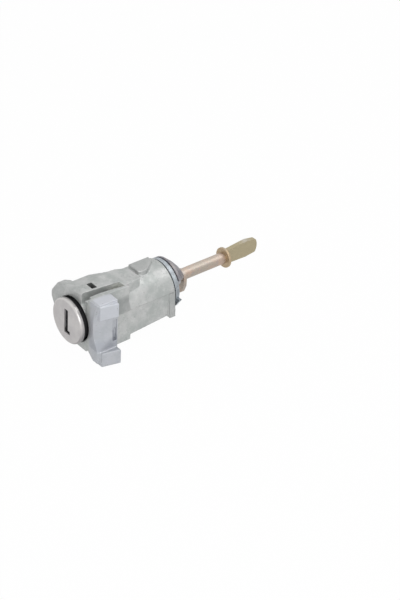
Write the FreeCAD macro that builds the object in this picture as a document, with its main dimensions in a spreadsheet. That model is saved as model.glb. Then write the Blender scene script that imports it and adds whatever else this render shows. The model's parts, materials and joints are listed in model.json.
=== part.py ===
# Door lock cylinder: a die-cast housing with a turning, sprung wafer plug and a long driving rod.
# The key face looks along -Y, the rod points along +Y and +Z is up. The origin lies on the plug's
# axis, in the plane of the housing's front face. All sizes are in millimetres.
import FreeCAD, Part
import math
import os
import Sketcher
from FreeCAD import Placement, Rotation, Vector

sizes = {
    # housing: barrel and stepped bore
    "barrel_radius": 10.7,
    "barrel_front": 2.0,
    "housing_length": 40.0,
    "housing_rear_chamfer": 0.5,
    "cap_clearance": 0.35,
    "cap_bore_depth": 4.2,
    "cap_bore_chamfer": 0.5,
    "bore_clearance": 0.06,
    "web_behind": 8.5,
    "web_thickness": 1.5,
    "web_bore_radius": 6.0,
    "rear_bore_radius": 9.0,
    # housing: front flange
    "flange_thickness": 3.8,
    "flange_left": 15.0,
    "flange_left_low": 2.4,
    "flange_left_high": 4.8,
    "flange_shoulder_out": 11.3,
    "flange_shoulder_height": 9.8,
    "flange_crown_out": 6.9,
    "flange_crown_height": 12.0,
    "flange_bottom": 11.1,
    "flange_bottom_left": 8.4,
    "flange_bottom_right": 7.2,
    "flange_corner_rounding": 1.2,
    "flange_edge_chamfer": 0.6,
    # housing: roof over the barrel
    "roof_height": 13.75,
    "roof_front": 0.9,
    "roof_front_left": 6.2,
    "roof_front_right": 4.4,
    "roof_slot_right": 4.6,
    "roof_waist_start": 11.0,
    "roof_waist_end": 16.9,
    "roof_left_straight": 4.0,
    "roof_rear_left": 3.4,
    "roof_length": 26.0,
    "roof_wide_front": 17.4,
    "roof_wide_right": 8.0,
    "roof_bend_right": 7.3,
    "roof_bend_length": 19.0,
    "roof_corner_right": 6.7,
    "roof_corner_length": 24.9,
    "roof_left_height": 12.0,
    "roof_left_slope": 0.2,
    "roof_rear_drop": 1.9,
    "roof_rear_skew": 1.5,
    "window_left": -0.1,
    "window_width": 3.7,
    "window_front": 5.5,
    "window_length": 2.2,
    # housing: wall beside the roof, which leaves a slot between them
    "wall_front": 1.5,
    "wall_inner_front": 7.4,
    "wall_inner_rear": 8.0,
    "wall_out": 9.2,
    "wall_end": 18.5,
    # housing: wing with its two blocks
    "wing_length": 9.0,
    "wing_root": 8.8,
    "wing_inner": 7.0,
    "wing_inner_low": 6.2,
    "wing_inner_high": 6.0,
    "wing_top": 13.4,
    "wing_bottom": 12.1,
    "wing_top_out": 14.2,
    "wing_waist_out": 12.1,
    "wing_waist_height": 4.0,
    "wing_bend_out": 12.6,
    "wing_bend_low": 2.3,
    "wing_foot_out": 14.95,
    "wing_foot_low": 7.4,
    "wing_flare": 3.3,
    "wing_flare_top": 0.4,
    "wing_side_out": 15.1,
    "wing_heel": 12.0,
    "wing_overlap": 0.2,
    "wing_heel_low": 9.2,
    "wing_heel_rounding": 2.1,
    "block_front": 1.2,
    "block_end": 8.5,
    "upper_block_flare": 1.5,
    "lower_block_flare": 1.8,
    "upper_block_root": 2.2,
    "upper_block_out": 14.7,
    "upper_block_low": 6.6,
    "upper_block_height": 6.0,
    "lower_block_root": 1.4,
    "lower_block_out": 16.3,
    "lower_block_low": 13.3,
    "lower_block_height": 6.2,
    "block_rounding": 0.4,
    "side_pocket_front": 7.1,
    "side_pocket_length": 1.5,
    "side_pocket_low": 4.5,
    "side_pocket_height": 5.4,
    "side_pocket_depth": 1.4,
    "side_step_height": 4.2,
    "side_step_depth": 0.75,
    # housing: side rail, front sump, rear lug and top fin
    "rail_out": 9.9,
    "rail_top": 2.3,
    "rail_front_bottom": 10.2,
    "rail_rear_bottom": 7.9,
    "rail_inner": 5.0,
    "sump_end": 19.2,
    "sump_bottom": 12.4,
    "sump_left": 6.5,
    "sump_chamfer": 1.0,
    "lug_length": 2.7,
    "lug_out_top": 10.3,
    "lug_out_bottom": 10.9,
    "lug_top": 2.2,
    "lug_bottom": 8.9,
    "fin_rise": 1.5,
    "fin_behind": 12.6,
    "fin_length": 9.4,
    "fin_left": 3.3,
    "fin_right": 3.6,
    "fin_front_skew": 1.1,
    "fin_side_skew": 0.7,
    "fin_bulge_place": 2.0,
    "fin_rear_width": 2.8,
    "fin_rounding": 0.6,
    # face cap
    "cap_radius": 9.2,
    "cap_proud": 3.4,
    "cap_rim": 1.9,
    "cap_neck_radius": 8.45,
    "cap_skirt": 3.2,
    "cap_wall": 0.6,
    "cap_rounding": 0.9,
    # keyway
    "keyway_left": 1.3,
    "keyway_right": 0.9,
    "keyway_top": 5.3,
    "keyway_bottom": 5.1,
    "keyway_foot": 2.1,
    "keyway_foot_height": 1.5,
    "keyway_end_wall": 1.0,
    # plug
    "plug_radius": 6.4,
    "plug_head_clearance": 0.05,
    "plug_head_end": 3.9,
    "clutch_room": 5.5,
    "plug_rounding": 0.5,
    "tongue_width": 8.0,
    "tongue_thickness": 2.6,
    "plug_tongue_length": 1.2,
    # shutter in the plug's head
    "shutter_pocket_depth": 6.2,
    "shutter_pocket_left": 3.8,
    "shutter_pocket_right": 2.7,
    "shutter_pocket_half_height": 5.9,
    "shutter_axis_left": 2.8,
    "shutter_axis_depth": 0.95,
    "shutter_knuckle_radius": 0.8,
    "shutter_thickness": 0.5,
    "shutter_end_gap": 0.15,
    "shutter_pin_radius": 0.4,
    "shutter_pin_clearance": 0.03,
    "shutter_pin_inset": 0.7,
    "shutter_spring_half_height": 1.6,
    "shutter_spring_wire": 0.3,
    "shutter_spring_turns": 4.0,
    # wafers and their springs
    "wafer_first": 6.6,
    "wafer_last_wall": 2.6,
    "wafer_thickness": 0.8,
    "wafer_half_width": 2.8,
    "wafer_lift": 1.0,
    "wafer_clearance": 0.05,
    "wafer_window_half_width": 1.7,
    "wafer_window_half_height": 5.35,
    "wafer_ear_out": 4.6,
    "wafer_ear_thickness": 1.0,
    "wafer_spring_radius": 0.55,
    "wafer_spring_wire": 0.24,
    "wafer_spring_length": 2.6,
    "wafer_spring_turns": 3.0,
    # sleeve
    "sleeve_radius": 8.6,
    "sleeve_clearance": 0.05,
    "sleeve_front": 4.3,
    "sleeve_slot_half_width": 3.1,
    "sleeve_slot_front": 5.6,
    "sleeve_slot_wall": 1.4,
    # clutch disc and its spring
    "clutch_radius": 7.8,
    "clutch_thickness": 2.9,
    "clutch_gap": 0.3,
    "clutch_slot_clearance": 0.08,
    "clutch_spring_wire": 0.5,
    "clutch_spring_radius": 6.9,
    "clutch_spring_turns": 1.5,
    # rear ring
    "ring_thickness": 2.1,
    "ring_radius": 10.15,
    "ring_bore_clearance": 0.06,
    "ring_spigot_depth": 0.9,
    "ring_spigot_clearance": 0.1,
    "ring_seat_radius": 9.6,
    "ring_seat_gap": 0.4,
    "ring_rounding": 0.4,
    "ring_tab_out": 11.8,
    "ring_tab_top": 1.5,
    "ring_tab_foot_out": 9.0,
    "ring_tab_bottom": 5.6,
    "ring_tab_thickness": 1.1,
    # half-round recess in the ring's rear face, which stops the driver's lug
    "stop_half_width": 1.2,
    "stop_reach": 6.1,
    "stop_clearance": 0.3,
    "stop_depth": 0.8,
    # open cone behind the ring
    "cone_radius": 10.1,
    "cone_groove": 0.3,
    "cone_groove_depth": 0.6,
    "cone_rim": 1.2,
    "cone_length": 7.3,
    "cone_end_radius": 3.6,
    "cone_bulge": 0.25,
    "cone_wall": 1.4,
    "cone_end_wall": 0.9,
    "cone_bore_clearance": 0.3,
    "cone_edge_out": 12.0,
    "cone_edge_up": 6.8,
    # driver
    "hub_radius": 5.0,
    "hub_gap": 1.2,
    "hub_overlap": 0.5,
    "driver_gap": 0.3,
    "shoulder_radius": 6.9,
    "shoulder_thickness": 0.9,
    "neck_radius": 3.3,
    "neck_length": 5.8,
    "tongue_gap": 0.4,
    "rod_socket_depth": 5.4,
    # retaining clip on the driver's hub
    "clip_groove_radius": 4.3,
    "clip_groove_place": 3.4,
    "clip_thickness": 0.9,
    "clip_radius": 6.4,
    "clip_clearance": 0.05,
    "clip_mouth": 6.0,
    # return spring
    "return_wire": 1.1,
    "return_radius": 7.2,
    "return_turns": 2.6,
    # lever plate on the rod's root
    "lever_thickness": 1.5,
    "lever_gap": 0.3,
    "lever_half_width": 3.0,
    "lever_top": 2.5,
    "lever_waist": 3.6,
    "lever_tip_half_width": 2.1,
    "lever_tip_start": 5.9,
    "lever_reach": 7.6,
    # rod with its collar and flat end
    "rod_radius": 2.35,
    "rod_clearance": 0.05,
    "rod_reach": 29.8,
    "collar_thickness": 1.1,
    "collar_radius": 4.25,
    "collar_rounding": 0.35,
    "paddle_overlap": 0.5,
    "paddle_length": 16.3,
    "paddle_tip_bulge": 0.8,
    "paddle_thickness": 1.9,
    "paddle_root_up": 3.1,
    "paddle_root_down": 2.8,
    "paddle_widest": 11.3,
    "paddle_widest_up": 4.3,
    "paddle_widest_down": 3.15,
    "paddle_tip_up": 3.4,
    "paddle_tip_down": 2.5,
    "paddle_corner": 0.6,
    # cross pin that holds the rod in the driver
    "cross_pin_radius": 0.75,
    "cross_pin_inset": 2.5,
    "cross_pin_clearance": 0.03,
    "cross_pin_sink": 0.1,
}

wafer_count = 8

doc = FreeCAD.newDocument("DoorLockCylinder")
sheet = doc.addObject("Spreadsheet::Sheet", "Sizes")
for row, (name, number) in enumerate(sizes.items(), 1):
    sheet.set("A%d" % row, name)
    sheet.set("B%d" % row, str(number))
    sheet.setAlias("B%d" % row, name)
doc.recompute()


class Size:
    # a length that knows its formula in the sheet and its present value

    def __init__(self, formula, value):
        self.formula = formula
        self.value = value

    def join(self, sign, other, value):
        return Size("(%s %s %s)" % (self.formula, sign, other.formula), value)

    def __add__(self, other):
        other = asSize(other)
        return self.join("+", other, self.value + other.value)

    def __sub__(self, other):
        other = asSize(other)
        return self.join("-", other, self.value - other.value)

    def __mul__(self, other):
        other = asSize(other)
        return self.join("*", other, self.value * other.value)

    def __truediv__(self, other):
        other = asSize(other)
        return self.join("/", other, self.value / other.value)

    def __radd__(self, other):
        return asSize(other) + self

    def __rsub__(self, other):
        return asSize(other) - self

    def __rmul__(self, other):
        return asSize(other) * self

    def __neg__(self):
        return asSize(0) - self


def asSize(number):
    if isinstance(number, Size):
        return number
    return Size("%g" % number, number)


def root(size):
    return Size("sqrt(%s)" % size.formula, math.sqrt(size.value))


class Sheet:
    # each alias of the sheet as an attribute

    def __getattr__(self, name):
        return Size("Sizes." + name, sizes[name])


s = Sheet()


def bind(thing, path, size):
    size = asSize(size)
    if "Sizes." in size.formula:
        thing.setExpression(path, size.formula)


def newBody(label):
    body = doc.addObject("PartDesign::Body", label)
    body.Label = label
    return body


def originPart(body, role):
    for part in body.Origin.OriginFeatures:
        if part.Role == role:
            return part


def newSketch(body, role, offset=0):
    sketch = body.newObject("Sketcher::SketchObject", "Sketch")
    sketch.AttachmentSupport = [(originPart(body, role), "")]
    sketch.MapMode = "FlatFace"
    offset = asSize(offset)
    sketch.AttachmentOffset = Placement(Vector(0, 0, offset.value), Rotation())
    bind(sketch, "AttachmentOffset.Base.z", offset)
    return sketch


def pin(sketch, geometry, end, place):
    # ties one point of the sketch to its distances from the origin
    for kind, size in zip(("DistanceX", "DistanceY"), place):
        size = asSize(size)
        number = sketch.addConstraint(Sketcher.Constraint(kind, -1, 1, geometry, end, size.value))
        bind(sketch, "Constraints[%d]" % number, size)


def drawOutline(sketch, corners, bulges=None):
    # a closed outline of straight lines; bulges gives the sides that are arcs and a point on each
    bulges = bulges or {}
    places = [Vector(asSize(a).value, asSize(b).value, 0) for a, b in corners]
    first = sketch.GeometryCount
    count = len(corners)
    for i in range(count):
        start, end = places[i], places[(i + 1) % count]
        if i in bulges:
            middle = Vector(asSize(bulges[i][0]).value, asSize(bulges[i][1]).value, 0)
            sketch.addGeometry(Part.Arc(start, middle, end), False)
        else:
            sketch.addGeometry(Part.LineSegment(start, end), False)
    arcEnds = {}
    for i in range(count):
        geometry = sketch.Geometry[first + i]
        swapped = i in bulges and geometry.StartPoint.distanceToPoint(places[i]) > 1e-4
        arcEnds[i] = (2, 1) if swapped else (1, 2)
    for i in range(count):
        following = (i + 1) % count
        sketch.addConstraint(Sketcher.Constraint(
            "Coincident", first + i, arcEnds[i][1], first + following, arcEnds[following][0]))
    for i in range(count):
        pin(sketch, first + i, arcEnds[i][0], corners[i])
    for i, place in bulges.items():
        middle = Vector(asSize(place[0]).value, asSize(place[1]).value, 0)
        point = sketch.addGeometry(Part.Point(middle), True)
        pin(sketch, point, 1, place)
        sketch.addConstraint(Sketcher.Constraint("PointOnObject", point, 1, first + i))


def drawCircle(sketch, radius, centre=(0, 0)):
    radius = asSize(radius)
    middle = Vector(asSize(centre[0]).value, asSize(centre[1]).value, 0)
    circle = sketch.addGeometry(Part.Circle(middle, Vector(0, 0, 1), radius.value), False)
    pin(sketch, circle, 3, centre)
    number = sketch.addConstraint(Sketcher.Constraint("Radius", circle, radius.value))
    bind(sketch, "Constraints[%d]" % number, radius)


def rectangle(left, right, low, high):
    return [(left, low), (right, low), (right, high), (left, high)]


def crossSketch(body, place, corners=None, bulges=None, radius=None, centre=(0, 0)):
    # a sketch across the axis, at a distance along +Y: its sides run along X and Z
    sketch = newSketch(body, "XZ_Plane", -asSize(place))
    if corners:
        drawOutline(sketch, corners, bulges)
    else:
        drawCircle(sketch, radius, centre)
    return sketch


def feature(body, kind, name, sketch, length):
    made = body.newObject("PartDesign::" + kind, name)
    made.Profile = (sketch, [""])
    length = asSize(length)
    made.Length = length.value
    bind(made, "Length", length)
    return made


def padAlong(body, name, sketch, length):
    # material added from a cross sketch towards +Y
    made = feature(body, "Pad", name, sketch, length)
    made.Reversed = True
    return made


def padUp(body, name, sketch, length):
    return feature(body, "Pad", name, sketch, length)


def cut(body, name, sketch, length, turned=False):
    # from a cross sketch a cut goes towards +Y, from a flat one down, from an upright one towards -X
    made = feature(body, "Pocket", name, sketch, length)
    made.Reversed = turned
    return made


def turnRound(body, kind, name, corners, bulges=None):
    # corners are (distance along the axis, radius)
    sketch = newSketch(body, "YZ_Plane")
    drawOutline(sketch, corners, bulges)
    made = body.newObject("PartDesign::" + kind, name)
    made.Profile = (sketch, [""])
    made.ReferenceAxis = (sketch, ["H_Axis"])
    made.Angle = 360
    return made


def roundEdges(body, name, radius, wanted, kind="Fillet"):
    # wanted tells from an edge's middle and its two ends whether it is rounded
    doc.recompute()
    base = body.Tip
    names = []
    for number, edge in enumerate(base.Shape.Edges, 1):
        middle = edge.valueAt((edge.FirstParameter + edge.LastParameter) / 2)
        if wanted(middle, edge):
            names.append("Edge%d" % number)
    made = body.newObject("PartDesign::" + kind, name)
    made.Base = (base, names)
    bind(made, "Radius" if kind == "Fillet" else "Size", radius)
    return made


def near(value, size, margin=0.02):
    return abs(value - asSize(size).value) < margin


def runsAlong(edge, axis):
    box = edge.BoundBox
    lengths = {"X": box.XLength, "Y": box.YLength, "Z": box.ZLength}
    others = [length for name, length in lengths.items() if name != axis]
    return lengths[axis] > 0.4 and max(others) < 0.01


def keywayCorners(spread=0):
    left, right = -s.keyway_left - spread, s.keyway_right + spread
    bottom, top = -s.keyway_bottom - spread, s.keyway_top + spread
    foot, step = s.keyway_foot + spread, -s.keyway_bottom + s.keyway_foot_height + spread
    return [(left, bottom), (foot, bottom), (foot, step), (right, step), (right, top), (left, top)]


cap_face = -s.cap_proud
cap_inside = cap_face + s.cap_wall
cap_bore_radius = s.cap_neck_radius + s.cap_clearance
housing_bore_radius = s.sleeve_radius + s.bore_clearance
web_front = s.housing_length - s.web_behind
web_rear = web_front + s.web_thickness
plug_end = web_front - s.clutch_room
fin_height = s.barrel_radius + s.fin_rise
beyond = 1


def makeBarrel(body):
    end = s.housing_length
    chamfer = s.housing_rear_chamfer
    turnRound(body, "Revolution", "Barrel", [
        (s.barrel_front, 0), (s.barrel_front, s.barrel_radius), (end - chamfer, s.barrel_radius),
        (end, s.barrel_radius - chamfer), (end, 0)])


def makeFlange(body):
    corners = [
        (-s.flange_left, s.flange_left_low), (-s.flange_left, s.flange_left_high),
        (-s.flange_shoulder_out, s.flange_shoulder_height),
        (-s.flange_crown_out, s.flange_crown_height),
        (s.roof_front_right, s.roof_height),
        (s.roof_front_right, s.barrel_radius * 0.84), (s.wing_root, s.barrel_radius * 0.45),
        (s.wing_root, -s.wing_heel_low), (s.flange_bottom_right, -s.flange_bottom),
        (-s.flange_bottom_left, -s.flange_bottom)]
    padAlong(body, "Flange", crossSketch(body, 0, corners), s.flange_thickness)
    roundEdges(body, "FlangeCorners", s.flange_corner_rounding, lambda middle, edge: (
        runsAlong(edge, "Y") and middle.x < -s.flange_crown_out.value + 1))
    roundEdges(body, "FlangeFront", s.flange_edge_chamfer, lambda middle, edge: (
        near(edge.BoundBox.YMax, 0) and middle.z > s.flange_left_high.value
        and middle.x < s.roof_front_right.value - 0.5), "Chamfer")


def makeRoof(body):
    sketch = newSketch(body, "XY_Plane")
    drawOutline(sketch, [
        (-s.roof_front_left, s.roof_front), (s.roof_front_right, s.roof_front),
        (s.roof_slot_right, s.roof_waist_end), (s.roof_wide_right, s.roof_wide_front),
        (s.roof_bend_right, s.roof_bend_length), (s.roof_corner_right, s.roof_corner_length),
        (s.roof_corner_right - (s.roof_length - s.roof_corner_length), s.roof_length),
        (-s.roof_rear_skew, s.roof_length),
        (-s.roof_rear_left, s.roof_waist_end + s.roof_left_straight),
        (-s.roof_rear_left, s.roof_waist_end), (-s.roof_front_left, s.roof_waist_start)])
    padUp(body, "Roof", sketch, s.roof_height)
    # wall between the wing and the roof's wide end
    sketch = newSketch(body, "XY_Plane")
    drawOutline(sketch, [
        (s.wall_inner_front, s.wall_front), (s.wall_out, s.wall_front), (s.wall_out, s.wall_end),
        (s.wall_inner_rear, s.wall_end), (s.wall_inner_front, s.wing_length)])
    padUp(body, "SlotWall", sketch, s.wing_top - 0.1)
    # the left shoulder slopes down, and the whole roof drops a little towards the rear
    far, high = s.flange_left + beyond, s.roof_height + beyond
    slopeEnd = (s.roof_height - s.roof_left_height) / s.roof_left_slope - s.roof_front_left
    sketch = crossSketch(body, -beyond, [
        (-far, s.roof_left_height - (far - s.roof_front_left) * s.roof_left_slope),
        (slopeEnd, s.roof_height), (slopeEnd, high), (-far, high)])
    cut(body, "RoofShoulder", sketch, s.roof_length + beyond * 2)
    sketch = newSketch(body, "YZ_Plane", far)
    low = s.roof_height - s.roof_rear_drop
    drawOutline(sketch, [
        (-beyond, s.roof_height), (0, s.roof_height), (s.roof_length, low),
        (s.roof_length + beyond, low), (s.roof_length + beyond, high), (-beyond, high)])
    cut(body, "RoofDrop", sketch, far * 2)


def makeWing(body):
    # inner part with the rounded heel
    corners = [
        (s.wing_root, s.wing_top), (s.wing_heel, s.wing_top), (s.wing_heel, -s.wing_bottom),
        (s.wing_root, -s.wing_heel_low), (s.wing_inner, -s.wing_inner_low),
        (s.wing_inner, s.wing_inner_high)]
    heel = (s.wing_heel - s.wing_heel_rounding, -s.wing_bottom + s.wing_heel_rounding * 0.4)
    padAlong(body, "WingRoot", crossSketch(body, 0, corners, {2: heel}), s.wing_length)
    # hollow-sided outer part, which leans outwards to the rear
    inner = s.wing_heel - s.wing_flare - s.wing_overlap
    corners = [
        (inner, s.wing_top), (s.wing_top_out, s.wing_top), (s.wing_bend_out, -s.wing_bend_low),
        (s.wing_foot_out, -s.wing_foot_low), (s.wing_foot_out, -s.wing_bottom),
        (s.wing_heel, -s.wing_bottom), (inner, -s.wing_heel_low)]
    sketch = crossSketch(body, 0, corners, {1: (s.wing_waist_out, s.wing_waist_height)})
    slant = root(s.wing_flare * s.wing_flare + s.wing_length * s.wing_length)
    side = feature(body, "Pad", "WingSide", sketch, slant)
    side.UseCustomVector = True
    side.AlongSketchNormal = False
    side.Direction = Vector(s.wing_flare.value, s.wing_length.value, 0)
    bind(side, "Direction.x", s.wing_flare)
    bind(side, "Direction.y", s.wing_length)
    # its rear ends at one plane, further in at the top
    far = s.wing_foot_out + s.wing_flare + beyond
    for name, out, rear, high, depth in (
            ("WingTopSide", s.wing_top_out, s.wing_top_out + s.wing_flare_top,
             s.wing_top + beyond, s.wing_top + beyond - s.upper_block_low),
            ("WingLowSide", s.wing_side_out, s.wing_side_out, s.upper_block_low,
             s.wing_bottom + beyond + s.upper_block_low)):
        sketch = newSketch(body, "XY_Plane", high)
        drawOutline(sketch, [
            (out, -beyond), (far, -beyond), (far, s.wing_length + beyond),
            (rear, s.wing_length + beyond), (rear, s.wing_length), (out, 0)])
        cut(body, name, sketch, depth)
    for name, inner, out, flare, low, height in (
            ("UpperBlock", s.wing_root + s.upper_block_root, s.upper_block_out,
             s.upper_block_flare, s.upper_block_low, s.upper_block_height),
            ("LowerBlock", s.wing_heel + s.lower_block_root, s.lower_block_out,
             s.lower_block_flare, -s.lower_block_low, s.lower_block_height)):
        sketch = newSketch(body, "XY_Plane", low)
        drawOutline(sketch, [
            (inner, s.block_front), (out, s.block_front),
            (out + flare, s.block_end), (inner, s.block_end)])
        padUp(body, name, sketch, height)
        roundEdges(body, name + "Edges", s.block_rounding, lambda middle, edge: (
            onBlockFace(edge, out, out + flare, low, height)))


def onBlockFace(edge, out, rear, low, height):
    # the front, upper and lower edge of a block's outer face
    box = edge.BoundBox
    upright = near(box.XMin, out) and near(box.YMax, s.block_front) and box.ZLength > 1
    lengthwise = near(box.XMin, out) and near(box.XMax, rear)
    flat = near(box.ZMin, low) and near(box.ZMax, low) or near(box.ZMin, low + height)
    return upright or lengthwise and flat


def makeRail(body):
    # flat side pad from the wing to the lug, drawn in a little under the barrel's bulge
    ends = []
    for place, bottom in ((s.wing_length - beyond, s.rail_front_bottom),
                          (s.housing_length - beyond, s.rail_rear_bottom)):
        ends.append(crossSketch(body, place, rectangle(s.rail_inner, s.rail_out, -bottom, s.rail_top)))
    loft = body.newObject("PartDesign::AdditiveLoft", "Rail")
    loft.Profile = (ends[0], [""])
    loft.Sections = [(ends[1], [""])]
    loft.Ruled = True
    sketch = crossSketch(body, s.wing_length, rectangle(
        s.rail_out, s.barrel_radius + beyond, -s.barrel_radius - beyond, s.rail_top))
    cut(body, "RailFace", sketch, s.housing_length - s.wing_length + beyond)
    # deeper sump behind the wing
    corners = [
        (-s.sump_left, -s.rail_inner), (-s.sump_left, -s.sump_bottom),
        (s.rail_out - s.sump_chamfer, -s.sump_bottom), (s.rail_out, -s.sump_bottom + s.sump_chamfer),
        (s.rail_out, -s.rail_inner)]
    start = s.flange_thickness - beyond
    padAlong(body, "Sump", crossSketch(body, start, corners), s.sump_end - start)
    # rear lug
    start = s.housing_length - s.lug_length
    corners = [
        (s.rail_inner, s.lug_top), (s.lug_out_top, s.lug_top),
        (s.lug_out_bottom, -s.lug_bottom), (s.rail_inner, -s.lug_bottom)]
    padAlong(body, "Lug", crossSketch(body, start, corners), s.lug_length)


def makeFin(body):
    base = s.barrel_radius * 0.5
    sketch = newSketch(body, "XY_Plane", base)
    front = s.housing_length - s.fin_behind
    rear = front + s.fin_length
    drawOutline(sketch, [
        (-s.fin_left, front), (s.fin_right - s.fin_front_skew, front),
        (s.fin_right - s.fin_side_skew, front + s.fin_length / 2),
        (-s.fin_left + s.fin_rear_width, rear), (-s.fin_left, rear)],
        {1: (s.fin_right, front + s.fin_bulge_place)})
    padUp(body, "Fin", sketch, fin_height - base)
    roundEdges(body, "FinEdges", s.fin_rounding, lambda middle, edge: (
        near(edge.BoundBox.ZMin, fin_height) and edge.BoundBox.YMin > front.value - beyond))


def cutWingSide(body):
    # shallow pocket in the wing's side, with a fainter step above it
    far = s.wing_side_out + beyond
    top = s.side_pocket_height - s.side_pocket_low
    for name, low, high, depth in (
            ("SidePocket", -s.side_pocket_low, top, s.side_pocket_depth),
            ("SideStep", top - s.side_pocket_low * 0.1, top + s.side_step_height, s.side_step_depth)):
        sketch = newSketch(body, "YZ_Plane", far)
        drawOutline(sketch, rectangle(
            s.side_pocket_front, s.side_pocket_front + s.side_pocket_length, low, high))
        cut(body, name, sketch, beyond + depth)


def cutBore(body):
    before, after = -beyond, s.housing_length + beyond
    mouth = cap_bore_radius + s.cap_bore_chamfer
    turnRound(body, "Groove", "Bore", [
        (before, 0), (before, mouth), (0, mouth), (s.cap_bore_chamfer, cap_bore_radius),
        (s.cap_bore_depth, cap_bore_radius), (s.cap_bore_depth, housing_bore_radius),
        (web_front, housing_bore_radius), (web_front, s.web_bore_radius),
        (web_rear, s.web_bore_radius), (web_rear, s.rear_bore_radius),
        (after, s.rear_bore_radius), (after, 0)])
    # window through the roof into the bore
    sketch = newSketch(body, "XY_Plane", s.roof_height + beyond)
    drawOutline(sketch, rectangle(
        s.window_left, s.window_left + s.window_width,
        s.window_front, s.window_front + s.window_length))
    cut(body, "Window", sketch, s.roof_height + beyond)


def makeHousing():
    body = newBody("housing")
    makeBarrel(body)
    makeFin(body)
    makeFlange(body)
    makeRoof(body)
    makeWing(body)
    makeRail(body)
    cutWingSide(body)
    cutBore(body)
    return body


def makeCap():
    body = newBody("face_cap")
    outer, neck, inner = s.cap_radius, s.cap_neck_radius, s.cap_neck_radius - s.cap_wall
    rim = cap_face + s.cap_rim
    turnRound(body, "Revolution", "Shell", [
        (cap_face, 0), (cap_face, outer), (rim, outer), (rim + (outer - neck), neck),
        (s.cap_skirt, neck), (s.cap_skirt, inner), (cap_inside, inner), (cap_inside, 0)])
    cut(body, "KeySlot", crossSketch(body, cap_face - beyond, keywayCorners()),
        s.cap_wall + beyond * 2)
    roundEdges(body, "Rim", s.cap_rounding, lambda middle, edge: near(
        edge.BoundBox.YMax, cap_face) and edge.BoundBox.XLength > s.cap_radius.value * 1.9)
    return body


head_radius = s.cap_neck_radius - s.cap_wall - s.plug_head_clearance
shutter_axis_place = cap_inside + s.shutter_axis_depth
shutter_pin_half = root(
    head_radius * head_radius - s.shutter_axis_left * s.shutter_axis_left) - s.shutter_pin_inset
wafer_spring_centre = (s.wafer_half_width + s.wafer_ear_out) / 2
wafer_pitch = (plug_end - s.wafer_last_wall - s.wafer_first) / (wafer_count - 1)


def makePlug():
    body = newBody("plug")
    turnRound(body, "Revolution", "Blank", [
        (cap_inside, 0), (cap_inside, head_radius), (s.plug_head_end, head_radius),
        (s.plug_head_end, s.plug_radius), (plug_end - s.plug_rounding, s.plug_radius),
        (plug_end, s.plug_radius - s.plug_rounding), (plug_end, 0)])
    half = s.tongue_width / 2
    thick = s.tongue_thickness / 2
    padAlong(body, "Tongue", crossSketch(body, plug_end, rectangle(-half, half, -thick, thick)),
             s.plug_tongue_length)
    cut(body, "Keyway", crossSketch(body, cap_inside - beyond, keywayCorners()),
        plug_end - s.keyway_end_wall - cap_inside + beyond)
    sketch = crossSketch(body, cap_inside - beyond, rectangle(
        -s.shutter_pocket_left, s.shutter_pocket_right,
        -s.shutter_pocket_half_height, s.shutter_pocket_half_height))
    cut(body, "ShutterPocket", sketch, s.shutter_pocket_depth + beyond)
    sketch = newSketch(body, "XY_Plane", shutter_pin_half + s.shutter_pin_clearance)
    drawCircle(sketch, s.shutter_pin_radius + s.shutter_pin_clearance,
               (-s.shutter_axis_left, shutter_axis_place))
    cut(body, "PinHole", sketch, (shutter_pin_half + s.shutter_pin_clearance) * 2)
    # wafer slots, each with a side chamber for the ear and its spring
    gap = s.wafer_clearance
    for name, start, side in (("Odd", 0, 1), ("Even", 1, -1)):
        place = s.wafer_first + wafer_pitch * start
        low, high = place - s.wafer_thickness / 2 - gap, place + s.wafer_thickness / 2 + gap
        across = s.wafer_half_width + gap
        sketch = newSketch(body, "XY_Plane", s.plug_radius + beyond)
        drawOutline(sketch, rectangle(-across, across, low, high))
        slot = cut(body, name + "Slots", sketch, (s.plug_radius + beyond) * 2)
        chamberTop = (s.wafer_ear_thickness / 2 + s.wafer_lift + gap) * side
        sketch = newSketch(body, "XY_Plane", chamberTop)
        inner, outer = s.wafer_half_width - 0.2, s.wafer_ear_out + gap
        drawOutline(sketch, rectangle(inner * side, outer * side, low, high) if side > 0 else
                    rectangle(outer * side, inner * side, low, high))
        drop = s.wafer_ear_thickness + s.wafer_lift + gap * 2
        chamber = cut(body, name + "Chambers", sketch, drop, turned=side < 0)
        sketch = newSketch(body, "XY_Plane", chamberTop)
        drawCircle(sketch, s.wafer_spring_radius + s.wafer_spring_wire / 2 + gap,
                   (wafer_spring_centre * side, place))
        well = cut(body, name + "Wells", sketch,
                   s.wafer_ear_thickness + gap + s.wafer_spring_length, turned=side < 0)
        pattern = body.newObject("PartDesign::LinearPattern", name + "Row")
        pattern.Originals = [slot, chamber, well]
        pattern.Direction = (originPart(body, "Y_Axis"), [""])
        pattern.Mode = "Spacing"
        bind(pattern, "Offset", wafer_pitch * 2)
        pattern.Occurrences = wafer_count // 2
        body.Tip = pattern
    return body


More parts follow.
